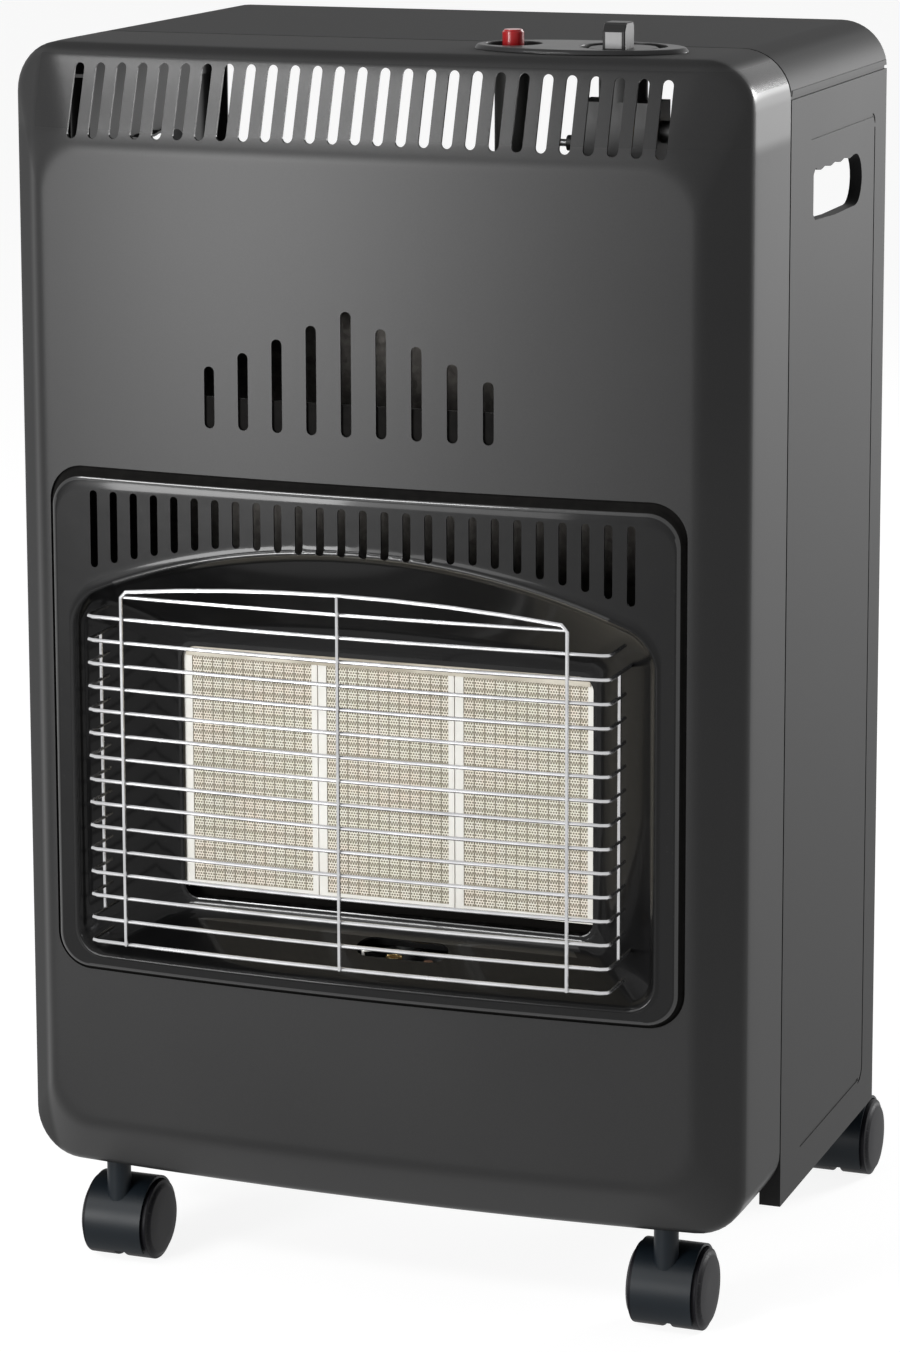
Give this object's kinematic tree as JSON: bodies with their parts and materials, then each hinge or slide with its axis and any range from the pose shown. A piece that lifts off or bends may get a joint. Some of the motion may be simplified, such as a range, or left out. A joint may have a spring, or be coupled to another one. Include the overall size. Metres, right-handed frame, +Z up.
{
  "type": "portable gas cabinet heater",
  "caption": "Castor-mounted sheet-steel cabinet heater with a wire-guarded radiant ceramic burner, top-mounted control knob and igniter, and an open back for a gas bottle.",
  "frame": {"origin": "on the floor, under the middle of the whole heater's width and depth", "axes": "+Z up, -Y the way the radiant front faces, +X to the side that carries the control knob"},
  "size_m": [0.42, 0.3832, 0.713],
  "materials": {
    "front_paint": "satin",
    "body_paint": "satin",
    "pan_paint": "satin",
    "galvanised": "satin",
    "zinc": "satin",
    "enamel": "gloss",
    "guard_chrome": "gloss",
    "burner_steel": "satin",
    "fibre": "matte",
    "plaque": "matte",
    "aluminised": "satin",
    "brass": "satin",
    "cast_alloy": "satin",
    "spindle": "satin",
    "knob": "satin",
    "bezel": "satin",
    "igniter": "satin",
    "button": "gloss",
    "copper": "satin",
    "insulator": "gloss",
    "lead": "satin",
    "pipe": "satin",
    "castor_black": "satin"
  },
  "bodies": {
    "cabinet": {"front_panel": "front_paint", "top_hood": "body_paint", "side_panel_l": "body_paint", "side_panel_r": "body_paint", "base_pan": "pan_paint", "heat_shield": "galvanised", "shield_screws": "zinc", "radiant_frame": "enamel", "wire_guard": "guard_chrome", "burner_box": "burner_steel", "plaque_gasket": "fibre", "plaque_l": "plaque", "plaque_m": "plaque", "plaque_r": "plaque", "burner_screws": "zinc", "mixer_tubes": "aluminised", "injector_rail": "galvanised", "injector_l": "brass", "injector_m": "brass", "injector_r": "brass", "gas_valve": "cast_alloy", "inlet_tail": "brass", "control_bezel": "bezel", "igniter_body": "igniter", "pilot_bracket": "zinc", "pilot_burner": "brass", "thermocouple": "copper", "spark_electrode": "insulator", "ignition_lead": "lead", "pilot_pipe": "pipe", "gas_pipe_l": "pipe", "gas_pipe_m": "pipe", "gas_pipe_r": "pipe", "castor_fl_stem": "zinc", "castor_fr_stem": "zinc", "castor_rl_stem": "zinc", "castor_rr_stem": "zinc"},
    "plug": {"valve_plug": "brass"},
    "knob": {"control_knob": "knob", "valve_spindle": "spindle"},
    "button": {"igniter_button": "button"},
    "castor_fl": {"castor_fl_hood": "castor_black", "castor_fl_axle": "zinc"},
    "wheel_fl_a": {"castor_fl_wheel_a": "castor_black"},
    "wheel_fl_b": {"castor_fl_wheel_b": "castor_black"},
    "castor_fr": {"castor_fr_hood": "castor_black", "castor_fr_axle": "zinc"},
    "wheel_fr_a": {"castor_fr_wheel_a": "castor_black"},
    "wheel_fr_b": {"castor_fr_wheel_b": "castor_black"},
    "castor_rl": {"castor_rl_hood": "castor_black", "castor_rl_axle": "zinc"},
    "wheel_rl_a": {"castor_rl_wheel_a": "castor_black"},
    "wheel_rl_b": {"castor_rl_wheel_b": "castor_black"},
    "castor_rr": {"castor_rr_hood": "castor_black", "castor_rr_axle": "zinc"},
    "wheel_rr_a": {"castor_rr_wheel_a": "castor_black"},
    "wheel_rr_b": {"castor_rr_wheel_b": "castor_black"}
  },
  "joints": [
    {"name": "knob_turn", "type": "hinge", "parent": "cabinet", "child": "plug", "pos_m": [0.128, -0.09798, 0.655], "axis": [0, 0, 1], "range_deg": [0, 200]},
    {"name": "knob_push", "type": "slide", "parent": "plug", "child": "knob", "axis": [0, 0, 1], "range_m": [-0.003, 0], "stiffness_N_per_m": 1500, "springref_m": 0.002},
    {"name": "igniter_press", "type": "slide", "parent": "cabinet", "child": "button", "axis": [0, 0, 1], "range_m": [-0.006, 0], "stiffness_N_per_m": 600, "springref_m": 0.002},
    {"name": "swivel_fl", "type": "hinge", "parent": "cabinet", "child": "castor_fl", "pos_m": [-0.163, -0.12198, 0.055], "axis": [0, 0, 1], "continuous": true},
    {"name": "roll_fl_a", "type": "hinge", "parent": "castor_fl", "child": "wheel_fl_a", "pos_m": [-0.163, -0.10898, 0.0225], "axis": [1, 0, 0], "continuous": true},
    {"name": "roll_fl_b", "type": "hinge", "parent": "castor_fl", "child": "wheel_fl_b", "pos_m": [-0.163, -0.10898, 0.0225], "axis": [1, 0, 0], "continuous": true},
    {"name": "swivel_fr", "type": "hinge", "parent": "cabinet", "child": "castor_fr", "pos_m": [0.163, -0.12198, 0.055], "axis": [0, 0, 1], "continuous": true},
    {"name": "roll_fr_a", "type": "hinge", "parent": "castor_fr", "child": "wheel_fr_a", "pos_m": [0.163, -0.10898, 0.0225], "axis": [1, 0, 0], "continuous": true},
    {"name": "roll_fr_b", "type": "hinge", "parent": "castor_fr", "child": "wheel_fr_b", "pos_m": [0.163, -0.10898, 0.0225], "axis": [1, 0, 0], "continuous": true},
    {"name": "swivel_rl", "type": "hinge", "parent": "cabinet", "child": "castor_rl", "pos_m": [-0.184, 0.15402, 0.055], "axis": [0, 0, 1], "continuous": true},
    {"name": "roll_rl_a", "type": "hinge", "parent": "castor_rl", "child": "wheel_rl_a", "pos_m": [-0.184, 0.16702, 0.0225], "axis": [1, 0, 0], "continuous": true},
    {"name": "roll_rl_b", "type": "hinge", "parent": "castor_rl", "child": "wheel_rl_b", "pos_m": [-0.184, 0.16702, 0.0225], "axis": [1, 0, 0], "continuous": true},
    {"name": "swivel_rr", "type": "hinge", "parent": "cabinet", "child": "castor_rr", "pos_m": [0.184, 0.15402, 0.055], "axis": [0, 0, 1], "continuous": true},
    {"name": "roll_rr_a", "type": "hinge", "parent": "castor_rr", "child": "wheel_rr_a", "pos_m": [0.184, 0.16702, 0.0225], "axis": [1, 0, 0], "continuous": true},
    {"name": "roll_rr_b", "type": "hinge", "parent": "castor_rr", "child": "wheel_rr_b", "pos_m": [0.184, 0.16702, 0.0225], "axis": [1, 0, 0], "continuous": true}
  ]
}
